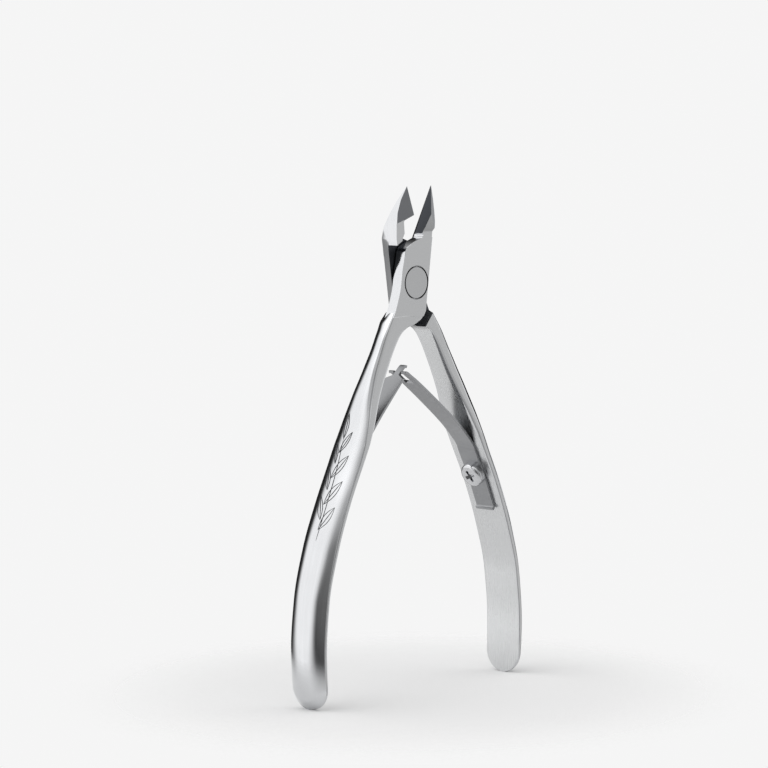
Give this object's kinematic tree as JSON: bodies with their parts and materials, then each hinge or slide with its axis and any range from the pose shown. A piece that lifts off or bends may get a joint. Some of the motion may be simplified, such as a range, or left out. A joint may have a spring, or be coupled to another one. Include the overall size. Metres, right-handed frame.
{
  "type": "cuticle nipper",
  "caption": "Hand nipper with bevelled cutting jaws on a lap joint, curved handles and hooked leaf springs that push it open.",
  "frame": {"origin": "on the plane the handle ends stand on, midway between them and in the middle of the lap joint's thickness", "axes": "+Z from the handle ends to the jaw tips, +X to the right seen from the bevelled side, +Y from the bevelled front to the back"},
  "size_m": [0.0724, 0.0114, 0.12],
  "materials": {
    "lever_steel": "polished stainless, satin on the flats",
    "pin_steel": "ground flush with the joint face",
    "spring_steel": "rolled spring steel",
    "screw_steel": "turned and polished"
  },
  "bodies": {
    "front_lever": {"front_lever": "lever_steel", "pivot_pin": "pin_steel", "left_spring_foot": "spring_steel", "left_spring_screw": "screw_steel"},
    "back_lever": {"back_lever": "lever_steel", "right_spring_foot": "spring_steel", "right_spring_screw": "screw_steel"},
    "left_spring": {"left_spring_blade": "spring_steel"},
    "right_spring": {"right_spring_blade": "spring_steel"}
  },
  "joints": [
    {"name": "pivot", "type": "hinge", "parent": "front_lever", "child": "back_lever", "pos_m": [0, 0, 0.0972], "axis": [0, 1, 0], "range_deg": [0, 20.2], "stiffness_Nm_per_rad": 1},
    {"name": "left_spring_flex", "type": "hinge", "parent": "front_lever", "child": "left_spring", "pos_m": [-0.0199, 0, 0.0572], "axis": [0, 1, 0], "range_deg": [-9, 0]},
    {"name": "right_spring_flex", "type": "hinge", "parent": "back_lever", "child": "right_spring", "pos_m": [0.0199, 0, 0.0572], "axis": [0, 1, 0], "range_deg": [0, 9]}
  ],
  "couplings": [
    {"joint": "left_spring_flex", "follows": "pivot", "ratio": -0.436},
    {"joint": "right_spring_flex", "follows": "pivot", "ratio": 0.436}
  ]
}
